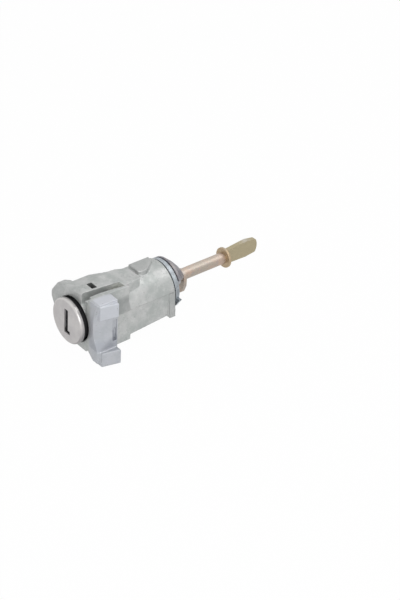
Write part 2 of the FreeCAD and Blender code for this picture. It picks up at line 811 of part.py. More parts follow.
def makeWafer(number):
    # a thin frame lifted by its spring; every second one is turned over, so they lock both ways
    body = newBody("wafer_%d" % (number + 1))
    thick = s.wafer_thickness
    wide = s.wafer_half_width
    reach = root(s.plug_radius * s.plug_radius - wide * wide) - s.wafer_clearance
    crown = s.plug_radius - s.wafer_clearance
    ear = s.wafer_ear_thickness / 2
    lift = s.wafer_lift
    corners = [
        (wide, lift - ear), (s.wafer_ear_out, lift - ear), (s.wafer_ear_out, lift + ear),
        (wide, lift + ear), (wide, lift + reach), (-wide, lift + reach),
        (-wide, lift - reach), (wide, lift - reach)]
    bulges = {4: (0, lift + crown), 6: (0, lift - crown)}
    padAlong(body, "Plate", crossSketch(body, -thick / 2, corners, bulges), thick)
    across, tall = s.wafer_window_half_width, s.wafer_window_half_height
    sketch = crossSketch(body, -thick, rectangle(-across, across, lift - tall, lift + tall))
    cut(body, "Opening", sketch, thick * 2)
    place = s.wafer_first + wafer_pitch * number
    turned = 180 if number % 2 else 0
    body.Placement = Placement(Vector(0, place.value, 0), Rotation(Vector(0, 1, 0), turned))
    bind(body, "Placement.Base.y", place)
    return body


def coil(label, radius, wire, height, turns, start, along, legs=()):
    # a round wire wound along an axis; legs are straight ends as (from, to) pairs
    helix = Part.makeHelix(height / turns, height, radius)
    section = Part.Wire(Part.makeCircle(wire / 2, Vector(radius, 0, 0), Vector(0, 1, 0)))
    solid = Part.Wire(helix.Edges).makePipeShell([section], True, True)
    for first, last in legs:
        rod = Part.makeCylinder(wire / 2, first.distanceToPoint(last), first, last - first)
        solid = solid.fuse(rod)
    made = doc.addObject("Part::Feature", label)
    made.Label = label
    made.Shape = solid
    made.Placement = Placement(start, Rotation(Vector(0, 0, 1), along))
    return made


def makeWaferSpring(number):
    side = -1 if number % 2 else 1
    wire = s.wafer_spring_wire.value
    free = s.wafer_spring_length.value
    seat = (s.wafer_lift - s.wafer_ear_thickness / 2).value
    start = Vector(wafer_spring_centre.value * side,
                   s.wafer_first.value + wafer_pitch.value * number, (seat - wire / 2) * side)
    return coil("wafer_spring_%d" % (number + 1), s.wafer_spring_radius.value, wire, free - wire,
                s.wafer_spring_turns.value, start, Vector(0, 0, -side))


def makeSleeve():
    body = newBody("sleeve")
    inner, outer = s.plug_radius + s.sleeve_clearance, s.sleeve_radius
    turnRound(body, "Revolution", "Tube", [
        (s.sleeve_front, inner), (s.sleeve_front, outer), (plug_end, outer), (plug_end, inner)])
    sketch = newSketch(body, "XY_Plane", outer + beyond)
    across = s.sleeve_slot_half_width
    drawOutline(sketch, rectangle(
        -across, across, s.sleeve_slot_front, plug_end - s.sleeve_slot_wall))
    cut(body, "WaferSlots", sketch, (outer + beyond) * 2)
    return body


def makeShutter():
    # hinged flap that closes the key slot from behind
    body = newBody("shutter")
    knuckle = s.shutter_knuckle_radius
    tall = s.shutter_pocket_half_height - s.shutter_end_gap
    sketch = newSketch(body, "XY_Plane", -tall)
    drawCircle(sketch, knuckle, (-s.shutter_axis_left, shutter_axis_place))
    padUp(body, "Knuckle", sketch, tall * 2)
    sketch = newSketch(body, "XY_Plane", -tall)
    rear = shutter_axis_place + s.shutter_thickness / 2
    drawOutline(sketch, rectangle(
        -s.shutter_axis_left, s.shutter_pocket_right - s.shutter_end_gap * 2,
        rear - s.shutter_thickness, rear))
    padUp(body, "Flap", sketch, tall * 2)
    spring = s.shutter_spring_half_height
    sketch = newSketch(body, "XY_Plane", spring)
    wide = knuckle + s.shutter_spring_wire
    drawOutline(sketch, rectangle(
        -s.shutter_axis_left - wide, -s.shutter_axis_left + wide,
        shutter_axis_place - wide, shutter_axis_place + wide))
    cut(body, "SpringGap", sketch, spring * 2)
    sketch = newSketch(body, "XY_Plane", tall + beyond)
    drawCircle(sketch, s.shutter_pin_radius + s.shutter_pin_clearance,
               (-s.shutter_axis_left, shutter_axis_place))
    cut(body, "PinHole", sketch, (tall + beyond) * 2)
    return body


def makeShutterPin():
    cylinder = doc.addObject("Part::Cylinder", "shutter_pin")
    cylinder.Label = "shutter_pin"
    bind(cylinder, "Radius", s.shutter_pin_radius)
    bind(cylinder, "Height", shutter_pin_half * 2)
    bind(cylinder, "Placement.Base.x", -s.shutter_axis_left)
    bind(cylinder, "Placement.Base.y", shutter_axis_place)
    bind(cylinder, "Placement.Base.z", -shutter_pin_half)
    return cylinder


def makeShutterSpring():
    wire = s.shutter_spring_wire.value
    tall = s.shutter_spring_half_height.value * 2 - wire * 2
    radius = s.shutter_pin_radius.value + wire
    start = Vector(-s.shutter_axis_left.value, shutter_axis_place.value, -tall / 2)
    legs = [(Vector(radius, 0, 0), Vector(radius, -0.7, 0)),
            (Vector(radius, 0, tall), Vector(radius, 1.6, tall))]
    return coil("shutter_spring", radius, wire, tall, s.shutter_spring_turns.value, start,
                Vector(0, 0, 1), legs)


clutch_front = plug_end + s.clutch_gap
clutch_rear = clutch_front + s.clutch_thickness


def makeClutchDisc():
    body = newBody("clutch_disc")
    turnRound(body, "Revolution", "Disc", [
        (clutch_front, 0), (clutch_front, s.clutch_radius), (clutch_rear, s.clutch_radius),
        (clutch_rear, 0)])
    half = s.tongue_width / 2 + s.clutch_slot_clearance
    thick = s.tongue_thickness / 2 + s.clutch_slot_clearance
    cut(body, "Slot", crossSketch(body, clutch_front - beyond, rectangle(-half, half, -thick, thick)),
        s.clutch_thickness + beyond * 2)
    return body


def makeClutchSpring():
    wire = s.clutch_spring_wire.value
    room = (web_front - clutch_rear).value
    start = Vector(0, clutch_rear.value + wire / 2, 0)
    return coil("clutch_spring", s.clutch_spring_radius.value, wire, room - wire,
                s.clutch_spring_turns.value, start, Vector(0, 1, 0))


ring_front = s.housing_length
ring_rear = ring_front + s.ring_seat_gap + s.ring_thickness
hub_bore = s.hub_radius + s.ring_bore_clearance


def makeRearRing():
    body = newBody("rear_ring")
    spigot = s.rear_bore_radius - s.ring_spigot_clearance
    turnRound(body, "Revolution", "Plate", [
        (ring_front - s.ring_spigot_depth, hub_bore), (ring_front - s.ring_spigot_depth, spigot),
        (ring_front, spigot), (ring_front, s.ring_seat_radius),
        (ring_front + s.ring_seat_gap, s.ring_seat_radius),
        (ring_front + s.ring_seat_gap, s.ring_radius), (ring_rear - s.ring_rounding, s.ring_radius),
        (ring_rear, s.ring_radius - s.ring_rounding), (ring_rear, hub_bore)])
    # half-round recess in the rear face: its two ends stop the driver's lug
    sketch = newSketch(body, "XY_Plane")
    reach = s.stop_reach + s.stop_clearance
    drawOutline(sketch, rectangle(
        hub_bore * 0.9, reach, ring_rear - s.stop_depth - s.stop_clearance, ring_rear + beyond))
    recess = body.newObject("PartDesign::Groove", "StopRecess")
    recess.Profile = (sketch, [""])
    recess.ReferenceAxis = (sketch, ["V_Axis"])
    recess.Angle = 180
    # pointed tooth at the lower right
    start = ring_rear - s.ring_rounding - s.ring_tab_thickness
    inner = s.ring_radius * 0.75
    padAlong(body, "Tooth", crossSketch(body, start, [
        (inner, -s.ring_tab_top), (inner, -s.ring_tab_bottom),
        (s.ring_tab_foot_out, -s.ring_tab_bottom), (s.ring_tab_out, -s.ring_tab_top)]),
        s.ring_tab_thickness)
    return body


driver_front = ring_rear + s.driver_gap
shoulder_rear = driver_front + s.shoulder_thickness
neck_end = ring_rear + s.neck_length
hub_front = web_rear + s.hub_gap
clip_groove_front = hub_front + s.clip_groove_place
cone_end = ring_rear + s.cone_length
lever_front = cone_end + s.lever_gap
rod_start = neck_end - s.rod_socket_depth
collar_front = ring_rear + s.rod_reach
cross_pin_place = neck_end - s.cross_pin_inset


def makeCone():
    # hollow cone fixed on the ring; only its upper part is left, so that the lever can swing below
    body = newBody("end_cone")
    outer, wall = s.cone_radius, s.cone_wall
    rim = ring_rear + s.cone_rim
    bore = s.rod_radius + s.cone_bore_clearance
    first = (rim * 2 + cone_end) / 3 + s.cone_bulge, (outer * 2 + s.cone_end_radius) / 3 + s.cone_bulge
    second = (rim + cone_end * 2) / 3 + s.cone_bulge, (outer + s.cone_end_radius * 2) / 3 + s.cone_bulge
    turnRound(body, "Revolution", "Shell", [
        (ring_rear, outer - wall), (ring_rear, outer - s.cone_groove_depth),
        (ring_rear + s.cone_groove, outer - s.cone_groove_depth), (ring_rear + s.cone_groove, outer),
        (rim, outer), first, second, (cone_end, s.cone_end_radius), (cone_end, bore),
        (cone_end - s.cone_end_wall, bore), (rim, outer - wall)])
    far, low = s.cone_edge_out, -s.cone_radius - beyond
    sketch = crossSketch(body, ring_rear - beyond, [
        (0, 0), (far, s.cone_edge_up), (far, low), (-far, low), (-far, s.cone_edge_up)])
    cut(body, "OpenSide", sketch, s.cone_length + beyond * 2)
    return body


def makeDriver():
    body = newBody("driver")
    groove = s.clip_groove_radius
    groove_end = clip_groove_front + s.clip_thickness + s.clip_clearance * 2
    turnRound(body, "Revolution", "Hub", [
        (hub_front, 0), (hub_front, s.hub_radius), (clip_groove_front, s.hub_radius),
        (clip_groove_front, groove), (groove_end, groove), (groove_end, s.hub_radius),
        (driver_front, s.hub_radius), (driver_front, s.shoulder_radius),
        (shoulder_rear, s.shoulder_radius), (shoulder_rear, s.neck_radius),
        (neck_end, s.neck_radius), (neck_end, 0)])
    # front tongue, which the clutch disc slides on
    half, thick = s.tongue_width / 2, s.tongue_thickness / 2
    start = plug_end + s.plug_tongue_length + s.tongue_gap
    padAlong(body, "Tongue", crossSketch(body, start, rectangle(-half, half, -thick, thick)),
             hub_front - start + s.hub_overlap)
    # lug that meets the ends of the ring's recess
    half = s.stop_half_width
    start = ring_rear - s.stop_depth
    sketch = crossSketch(body, start, rectangle(
        -half, half, -s.stop_reach, -s.hub_radius + s.hub_overlap))
    padAlong(body, "StopLug", sketch, driver_front - start + s.shoulder_thickness / 2)
    cut(body, "Socket", crossSketch(body, rod_start, radius=s.rod_radius + s.rod_clearance),
        s.rod_socket_depth + beyond)
    sketch = newSketch(body, "YZ_Plane", s.neck_radius)
    drawCircle(sketch, s.cross_pin_radius + s.cross_pin_clearance, (cross_pin_place, 0))
    cut(body, "PinHole", sketch, s.neck_radius * 2)
    return body


def makeClip():
    # open retaining clip in the hub's groove
    body = newBody("retaining_clip")
    front = clip_groove_front + s.clip_clearance
    inner = s.clip_groove_radius
    turnRound(body, "Revolution", "Ring", [
        (front, inner), (front, s.clip_radius), (front + s.clip_thickness, s.clip_radius),
        (front + s.clip_thickness, inner)])
    half = s.clip_mouth / 2
    sketch = crossSketch(body, front - beyond, rectangle(-half, half, 0, s.clip_radius + beyond))
    cut(body, "Mouth", sketch, s.clip_thickness + beyond * 2)
    return body


def makeReturnSpring():
    wire = s.return_wire.value
    start = Vector(0, web_rear.value + wire / 2, 0)
    room = (ring_front - s.ring_spigot_depth - web_rear).value - wire
    return coil("return_spring", s.return_radius.value, wire, room, s.return_turns.value, start,
                Vector(0, 1, 0))


def makeLever():
    # stamped plate on the rod's root, with its arm pointing down
    body = newBody("lever_plate")
    half, tip = s.lever_half_width, s.lever_tip_half_width
    sketch = crossSketch(body, lever_front, [
        (-half, 0), (-half, -s.lever_waist), (-tip, -s.lever_tip_start),
        (tip, -s.lever_tip_start), (half, -s.lever_waist), (half, 0)],
        {2: (0, -s.lever_reach), 5: (0, s.lever_top)})
    padAlong(body, "Plate", sketch, s.lever_thickness)
    cut(body, "RodHole", crossSketch(body, lever_front - beyond, radius=s.rod_radius + s.rod_clearance),
        s.lever_thickness + beyond * 2)
    return body


def makeRod():
    body = newBody("rod")
    collar_rear = collar_front + s.collar_thickness
    turnRound(body, "Revolution", "Shank", [
        (rod_start, 0), (rod_start, s.rod_radius), (collar_front, s.rod_radius),
        (collar_front, s.collar_radius), (collar_rear, s.collar_radius), (collar_rear, 0)])
    roundEdges(body, "CollarEdges", s.collar_rounding, lambda middle, edge: near(
        edge.BoundBox.XMax, s.collar_radius))
    # flat end, pressed from the round
    sketch = newSketch(body, "YZ_Plane", -s.paddle_thickness / 2)
    start, widest = collar_front + s.paddle_overlap, collar_front + s.paddle_widest
    end = collar_front + s.paddle_length
    tip = (end + s.paddle_tip_bulge, (s.paddle_tip_up - s.paddle_tip_down) / 2)
    drawOutline(sketch, [
        (start, -s.paddle_root_down), (widest, -s.paddle_widest_down), (end, -s.paddle_tip_down),
        (end, s.paddle_tip_up), (widest, s.paddle_widest_up), (start, s.paddle_root_up)], {2: tip})
    padUp(body, "Paddle", sketch, s.paddle_thickness)
    roundEdges(body, "PaddleCorners", s.paddle_corner, lambda middle, edge: (
        runsAlong(edge, "X") and near(middle.y, end)))
    sketch = newSketch(body, "YZ_Plane", s.rod_radius)
    drawCircle(sketch, s.cross_pin_radius + s.cross_pin_clearance, (cross_pin_place, 0))
    cut(body, "PinHole", sketch, s.rod_radius * 2)
    return body


def makeCrossPin():
    cylinder = doc.addObject("Part::Cylinder", "cross_pin")
    cylinder.Label = "cross_pin"
    reach = s.neck_radius - s.cross_pin_sink
    bind(cylinder, "Radius", s.cross_pin_radius)
    bind(cylinder, "Height", reach * 2)
    cylinder.Placement = Placement(Vector(), Rotation(Vector(0, 1, 0), 90))
    bind(cylinder, "Placement.Base.x", -reach)
    bind(cylinder, "Placement.Base.y", cross_pin_place)
    return cylinder


pieces = [makeHousing(), makeCap(), makePlug(), makeSleeve()]
pieces += [makeWafer(number) for number in range(wafer_count)]
pieces += [makeShutter(), makeShutterPin(), makeClutchDisc(), makeRearRing(), makeCone()]
pieces += [makeDriver(), makeClip(), makeLever(), makeRod(), makeCrossPin()]
doc.recompute()
pieces += [makeWaferSpring(number) for number in range(wafer_count)]
pieces += [makeShutterSpring(), makeClutchSpring(), makeReturnSpring()]
doc.recompute()

for thing in doc.Objects:
    if "Invalid" in thing.State or "Error" in thing.State:
        raise RuntimeError("%s has failed: %s" % (thing.Label, thing.State))
os.makedirs("parts", exist_ok=True)
for piece in pieces:
    shape = piece.Shape
    if shape.isNull() or not shape.isValid() or len(shape.Solids) != 1:
        raise RuntimeError("%s is not one sound solid" % piece.Label)
    shape.exportStep("parts/%s.step" % piece.Label)
    print(piece.Label, round(shape.Volume, 2))
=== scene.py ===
import json
import math

import bpy
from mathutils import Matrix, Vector

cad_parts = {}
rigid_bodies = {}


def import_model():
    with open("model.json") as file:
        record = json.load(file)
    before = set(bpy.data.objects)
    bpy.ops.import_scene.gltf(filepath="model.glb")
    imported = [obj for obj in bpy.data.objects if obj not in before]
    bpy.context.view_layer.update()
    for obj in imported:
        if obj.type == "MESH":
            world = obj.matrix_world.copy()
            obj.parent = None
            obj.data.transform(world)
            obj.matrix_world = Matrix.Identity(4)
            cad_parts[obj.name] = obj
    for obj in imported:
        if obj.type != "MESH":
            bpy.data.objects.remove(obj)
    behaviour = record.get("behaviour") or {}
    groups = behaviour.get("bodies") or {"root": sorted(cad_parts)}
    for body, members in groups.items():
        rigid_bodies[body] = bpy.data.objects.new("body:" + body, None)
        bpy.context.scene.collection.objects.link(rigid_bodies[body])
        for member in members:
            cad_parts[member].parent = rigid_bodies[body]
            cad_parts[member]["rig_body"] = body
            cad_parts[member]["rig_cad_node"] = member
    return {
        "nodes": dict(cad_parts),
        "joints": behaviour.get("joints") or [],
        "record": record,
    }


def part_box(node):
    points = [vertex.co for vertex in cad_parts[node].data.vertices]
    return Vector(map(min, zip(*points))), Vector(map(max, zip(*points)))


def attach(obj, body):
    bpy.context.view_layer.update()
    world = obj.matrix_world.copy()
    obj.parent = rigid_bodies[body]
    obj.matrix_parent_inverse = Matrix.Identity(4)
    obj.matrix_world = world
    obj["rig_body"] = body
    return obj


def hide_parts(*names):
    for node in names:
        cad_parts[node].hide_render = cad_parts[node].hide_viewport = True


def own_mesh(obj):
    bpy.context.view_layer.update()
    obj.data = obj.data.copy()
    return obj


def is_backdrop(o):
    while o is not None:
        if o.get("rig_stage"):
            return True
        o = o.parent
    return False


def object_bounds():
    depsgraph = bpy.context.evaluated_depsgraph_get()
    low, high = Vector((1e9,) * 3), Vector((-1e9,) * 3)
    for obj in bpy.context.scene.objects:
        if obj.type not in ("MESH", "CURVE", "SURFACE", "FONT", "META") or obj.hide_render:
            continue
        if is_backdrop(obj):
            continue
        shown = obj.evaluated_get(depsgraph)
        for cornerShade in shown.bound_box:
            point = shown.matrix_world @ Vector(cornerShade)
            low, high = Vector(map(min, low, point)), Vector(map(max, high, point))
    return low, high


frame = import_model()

nodes = frame["nodes"]
joints = {joint["name"]: joint for joint in frame["joints"]}
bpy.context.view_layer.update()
mm = 0.001
print("lock frame loaded:", len(nodes), "nodes")


class Wire:
    # a socket that takes part in sums
    def __init__(self, finish, socket):
        self.finish = finish
        self.socket = socket

    def __add__(self, other):
        return self.finish.maths("ADD", self, other)

    def __radd__(self, other):
        return self.finish.maths("ADD", other, self)

    def __sub__(self, other):
        return self.finish.maths("SUBTRACT", self, other)

    def __rsub__(self, other):
        return self.finish.maths("SUBTRACT", other, self)

    def __mul__(self, other):
        return self.finish.maths("MULTIPLY", self, other)

    def __rmul__(self, other):
        return self.finish.maths("MULTIPLY", other, self)


class Finish:
    def __init__(self, tree):
        self.tree = tree
        tree.nodes.clear()

    def node(self, kind, settings={}, sockets={}, out=0):
        # settings come first, because some of them change the sockets
        made = self.tree.nodes.new(kind)
        for name, value in settings.items():
            setattr(made, name, value)
        for name, value in sockets.items():
            if isinstance(value, Wire):
                self.tree.links.new(value.socket, made.inputs[name])
            else:
                made.inputs[name].default_value = value
        return Wire(self, made.outputs[out]) if made.outputs else None

    def maths(self, operation, first, second):
        return self.node("ShaderNodeMath", {"operation": operation}, {0: first, 1: second})

    def clamp(self, value):
        return self.node("ShaderNodeClamp", {}, {"Value": value})

    def step(self, value, low, high, first=0.0, last=1.0):
        # goes smoothly from first to last while value goes from low to high
        return self.node("ShaderNodeMapRange", {"interpolation_type": "SMOOTHSTEP"},
                         {"Value": value, "From Min": low, "From Max": high,
                          "To Min": first, "To Max": last})

    def mixed(self, amount, first, second):
        return self.node("ShaderNodeMix", {"data_type": "RGBA"},
                         {0: amount, 6: first, 7: second}, out=2)

    def place(self, move=(0, 0, 0)):
        here = self.node("ShaderNodeTexCoord", out="Object")
        return self.node("ShaderNodeMapping", {}, {"Vector": here, "Location": move})

    def along(self, axis):
        here = self.node("ShaderNodeTexCoord", out="Object")
        return self.node("ShaderNodeSeparateXYZ", {}, {"Vector": here}, out=axis)

    def noise(self, size, detail, move=(0, 0, 0)):
        # size is that of one blotch in mm, move is in m
        return self.node("ShaderNodeTexNoise", {}, {
            "Vector": self.place(move), "Scale": 1 / (size * mm),
            "Detail": detail, "Roughness": 0.6})

    def within(self, spans):
        # a span is an axis, the place where it starts and the one where it is full, in mm
        return math.prod(self.step(self.along(axis), start * mm, full * mm)
                         for axis, start, full in spans)

    def marked(self, colour, mark, mask=1.0):
        # the mark's tone lies over the colour inside its spans, as far as its share goes
        return self.mixed(self.within(mark["spans"]) * mask * mark["share"], colour, mark["tone"])

    def specked(self, colour, specks):
        # small dots that come in groups
        cells = self.node("ShaderNodeTexVoronoi", {}, {
            "Vector": self.place(), "Scale": 1 / (specks["size"] * mm)})
        dots = self.step(cells, *specks["edge"], 1.0, 0.0)
        groups = self.step(self.noise(*specks["groups"]), *specks["kept"])
        return self.mixed(dots * groups * specks["share"], colour, specks["tone"])

    def bump(self, height, grain):
        return self.node("ShaderNodeBump", {}, {
            "Height": height, "Distance": grain["depth"] * mm, "Strength": grain["strength"]})

    def surface(self, **sockets):
        named = {name.replace("_", " "): value for name, value in sockets.items()}
        skin = self.node("ShaderNodeBsdfPrincipled", {}, named)
        self.node("ShaderNodeOutputMaterial", {}, {"Surface": skin})


def newFinish(name):
    material = bpy.data.materials.new(name)
    material.use_nodes = True
    return material, Finish(material.node_tree)


def rgb(red, green, blue):
    # from the 0 to 255 of a paint program to the shader's own scale
    def level(part):
        part = part / 255
        return part / 12.92 if part < 0.04045 else ((part + 0.055) / 1.055) ** 2.4
    return (level(red), level(green), level(blue), 1)


noiseSpan = (0.3, 0.7)  # nearly all of a noise's values lie in it

casting = {
    "plain": rgb(191, 192, 191), "dull": rgb(171, 175, 173), "pale": rgb(214, 215, 213),
    # the crease tone and the near-black tone after it are painted shade: in creases, and in the
    # bore's mouth, the window and the rear joint
    "crease": rgb(120, 122, 122), "shadeInside": rgb(34, 35, 36),
    "metal": 0.42, "rough": (0.34, 0.5),
    "grain": {"depth": 0.03, "strength": 0.6, "fineShare": 1.5},
    "noises": {"blotches": (6.0, 4.0), "patches": (2.1, 3.0, (0.03, 0, 0)),
               "fine": (0.8, 3.0), "grain": (0.28, 2.0)},
    "plainSpan": (0.36, 0.64), "paleSpan": (0.48, 0.76), "paleShare": 0.35,
    "dullSpan": (0.5, 0.8), "dullShare": 0.5,
    # the wing has a cooler tone than the barrel
    "wing": {"start": 10.2, "full": 12.5, "wobble": 3.0, "spans": [("Y", 10.0, 8.6)],
             "tone": rgb(183, 186, 195), "least": 0.3, "patchShare": 0.6},
    # the fin, the lug and the flange's left side are a little duller
    "worn": {"tone": rgb(160, 162, 161), "share": 0.5, "places": [
        {"spans": [("Y", 27.0, 27.4), ("Z", 11.2, 11.5)], "share": 1.0},
        {"spans": [("Y", 36.5, 37.0), ("X", 10.0, 10.3)], "share": 1.2},
        {"spans": [("X", -6.0, -11.0), ("Y", 4.2, 3.8)], "share": 0.5}]},
    # painted light makes the wing's upper block paler, painted shade darkens its hollow foot
    "block": {"tone": rgb(206, 209, 216), "share": 0.6,
              "spans": [("Z", 6.3, 6.8), ("Y", 0.9, 1.4)]},
    "foot": {"tone": rgb(146, 150, 158), "share": 0.62,
             "spans": [("Z", -1.2, -4.2), ("Z", -7.05, -6.8)]},
    # painted shade darkens the corner behind the roof's wall, painted light makes the floor of the
    # slot beside the wall pale
    "cornerShade": {"tone": rgb(120, 122, 122), "share": 0.5,
               "spans": [("Y", 8.8, 9.4), ("Y", 18.9, 18.2), ("Z", 1.0, 3.4), ("Z", 9.4, 7.0),
                         ("X", 8.2, 9.0)]},
    "slotFloorLight": {"tone": rgb(226, 227, 222), "share": 0.8,
                  "spans": [("Y", 11.0, 15.0), ("Y", 17.7, 17.5), ("X", 4.2, 4.5), ("X", 8.4, 8.0),
                            ("Z", 12.6, 12.0)]},
    "specks": {"tone": rgb(122, 126, 126), "share": 0.8, "size": 0.75, "edge": (0.1, 0.26),
               "groups": (3.4, 2.0, (0.01, 0, 0)), "kept": (0.48, 0.6)},
    # painted shade in creases, where the pointiness is low
    "creaseSpan": (0.44, 0.482), "creaseShare": 0.7,
    # painted shade along the side rail's upper ledge, broken up by the patches
    "ledgeShade": {"tone": rgb(120, 122, 122), "share": 0.85, "patchSpan": (0.3, 0.6),
              "spans": [("Z", 2.0, 2.25), ("Z", 2.6, 2.35), ("X", 9.2, 9.6), ("Y", 13.0, 20.0)]},
    # painted shade in the bore's mouth, in the window and at the rear joint
    "bore": (8.86, 8.7933),
    "window": {"share": 0.7, "spans": [("Z", 13.3, 13.0), ("X", -0.27, -0.17), ("X", 3.77, 3.67),
                                       ("Y", 5.33, 5.43), ("Y", 7.87, 7.77)]},
    "rear": {"share": 0.8, "spans": [("Y", 39.6, 39.9)]},
}


def makeCasting(settings):
    material, look = newFinish("zincCasting")
    across, up = look.along("X"), look.along("Z")
    noises = {name: look.noise(*noise) for name, noise in settings["noises"].items()}
    blotches, patches, fine = noises["blotches"], noises["patches"], noises["fine"]
    colour = look.mixed(look.step(blotches, *settings["plainSpan"]),
                        settings["dull"], settings["plain"])
    colour = look.mixed(look.step(patches, *settings["paleSpan"]) * settings["paleShare"],
                        colour, settings["pale"])
    colour = look.mixed(look.step(fine, *settings["dullSpan"]) * settings["dullShare"],
                        colour, settings["dull"])

    side = settings["wing"]
    wing = look.step(across + blotches * (side["wobble"] * mm),
                     side["start"] * mm, side["full"] * mm) * look.within(side["spans"])
    colour = look.mixed(wing * (side["least"] + patches * side["patchShare"]),
                        colour, side["tone"])
    worn = settings["worn"]
    amount = sum(look.within(place["spans"]) * place["share"] for place in worn["places"])
    colour = look.mixed(look.clamp(amount) * worn["share"], colour, worn["tone"])
    # painted light on the wing's upper block, painted shade on its hollow foot
    colour = look.marked(colour, settings["block"], wing)
    colour = look.marked(colour, settings["foot"], wing)
    # painted shade behind the roof's wall, painted light on the slot's floor
    colour = look.marked(colour, settings["cornerShade"])
    colour = look.marked(colour, settings["slotFloorLight"])
    colour = look.specked(colour, settings["specks"])

    # painted shade: the colour darkens in creases, found from the mesh's pointiness
    bent = look.node("ShaderNodeNewGeometry", out="Pointiness")
    creaseShade = look.step(bent, *settings["creaseSpan"], 1.0, 0.0)
    colour = look.mixed(creaseShade * settings["creaseShare"], colour, settings["crease"])
    # painted shade along the side rail's upper ledge
    ledgeShade = settings["ledgeShade"]
    colour = look.marked(colour, ledgeShade, look.step(patches, *ledgeShade["patchSpan"]))

    # painted shade: near black in the bore's mouth, the window and the rear joint, with the metal
    # taken away there
    start, full = [(radius * mm) ** 2 for radius in settings["bore"]]
    paintedShade = look.step(across * across + up * up, start, full)
    for hole in (settings["window"], settings["rear"]):
        paintedShade = paintedShade + look.within(hole["spans"]) * hole["share"]
    paintedShade = look.clamp(paintedShade)
    colour = look.mixed(paintedShade, colour, settings["shadeInside"])
    height = noises["grain"] + fine * settings["grain"]["fineShare"]
    look.surface(Base_Color=colour, Metallic=settings["metal"] * (1 - paintedShade),
                 Roughness=look.step(fine, *noiseSpan, *settings["rough"]),
                 Normal=look.bump(height, settings["grain"]))
    return material


smoothGrain = {"size": 0.35, "detail": 2.0, "depth": 0.01, "strength": 0.4}
steelSpan = (0.35, 0.68)  # where the patches turn one tone of a steel into the other

capSteel = {
    "plain": rgb(184, 181, 181), "second": rgb(196, 193, 192), "patch": 5.0,
    "metal": 0.7, "rough": (0.31, 0.42),
    # painted shade darkens the rim where it meets the flange, and paints the gap behind it black
    "bandShade": [{"tone": rgb(120, 117, 116), "share": 0.2, "spans": [("Y", -2.9, -2.1)]},
             {"tone": rgb(24, 24, 26), "share": 1.0, "spans": [("Y", -1.85, -1.6)]}],
    # painted shade makes the rim darker below, a painted highlight makes it paler above
    "shadeAndHighlight": [{"tone": rgb(112, 110, 110), "share": 0.6,
               "spans": [("Z", 1.0, -5.0), ("Y", -3.38, -3.25), ("Y", -2.1, -2.5)]},
              {"tone": rgb(226, 224, 221), "share": 0.4,
               "spans": [("Z", 1.5, 6.0), ("Y", -3.38, -3.25), ("Y", -2.1, -2.5)]}]}
ringSteel = {
    "plain": rgb(146, 151, 156), "second": rgb(180, 187, 192), "patch": 2.6,
    "metal": 0.75, "rough": (0.37, 0.48),
    # painted shade at the ring's front, in the joint with the housing
    "bandShade": [{"tone": rgb(48, 50, 54), "share": 0.9, "spans": [("Y", 40.5, 40.15)]}]}
coneSteel = {"plain": rgb(122, 123, 132), "second": rgb(152, 147, 147), "patch": 2.5,
             "metal": 0.7, "rough": (0.41, 0.52)}
springSteel = {"plain": rgb(150, 152, 156), "second": rgb(172, 173, 176), "patch": 1.5,
               "metal": 0.9, "rough": (0.25, 0.36)}
plugZinc = {"plain": rgb(120, 120, 118), "second": rgb(140, 140, 138), "patch": 2.0,
            "metal": 0.5, "rough": (0.37, 0.48)}
waferBrass = {"plain": rgb(176, 146, 84), "second": rgb(196, 168, 104), "patch": 1.2,
              "metal": 0.9, "rough": (0.29, 0.4)}


def makeSteel(name, settings):
    material, look = newFinish(name)
    patches = look.noise(settings["patch"], 3.0)
    fine = look.noise(smoothGrain["size"], smoothGrain["detail"])
    colour = look.mixed(look.step(patches, *steelSpan), settings["plain"], settings["second"])
    metal = settings["metal"]
    for bandShade in settings.get("bandShade", []):
        # the painted shade hides the metal under it
        amount = look.within(bandShade["spans"]) * bandShade["share"]
        colour = look.mixed(amount, colour, bandShade["tone"])
        metal = metal * (1 - amount)
    # painted shade and painted highlights on the rim
    for lightMark in settings.get("shadeAndHighlight", []):
        colour = look.marked(colour, lightMark)
    look.surface(Base_Color=colour, Metallic=metal,
                 Roughness=look.step(fine, *noiseSpan, *settings["rough"]),
                 Normal=look.bump(fine, smoothGrain))
    return material


yellowZinc = {
    "beige": rgb(172, 162, 150), "pink": rgb(197, 166, 147), "violet": rgb(156, 148, 154),
    "metal": 0.6, "rough": (0.37, 0.5), "fine": (0.3, 2.0),
    "shift": (3.2, 3.0), "pinkSpan": (0.45, 0.7), "pinkShare": 0.6,
    "wave": (1.6, 2.0, (0.02, 0.01, 0)), "violetSpan": (0.52, 0.7), "violetShare": 0.5,
    # towards the collar the rod turns pink, the collar is gold, the flat end olive
    "lengths": [{"tone": rgb(197, 166, 147), "share": 0.4, "spans": [("Y", 65.0, 71.0)]},
                {"tone": rgb(180, 160, 128), "share": 0.85, "spans": [("Y", 71.6, 72.4)]},
                {"tone": rgb(170, 160, 131), "share": 0.9, "spans": [("Y", 73.4, 75.0)]}],
    # the flat end's upper edge gets a painted highlight, and a painted highlight runs along the
    # rod's top
    "edgeHighlight": {"tone": rgb(200, 196, 188), "share": 0.8, "start": 4.3, "full": 5.0,
               "spans": [("Y", 72.0, 74.0)]},
    "rodHighlight": {"tone": rgb(236, 224, 212), "share": 0.2,
             "spans": [("Z", 1.1, 1.9), ("Y", 70.8, 70.0)]},
    "specks": {"tone": rgb(92, 84, 72), "share": 0.5, "size": 0.9, "edge": (0.05, 0.22),
               "groups": (2.0, 2.0, (0, 0.02, 0)), "kept": (0.55, 0.68)},
}


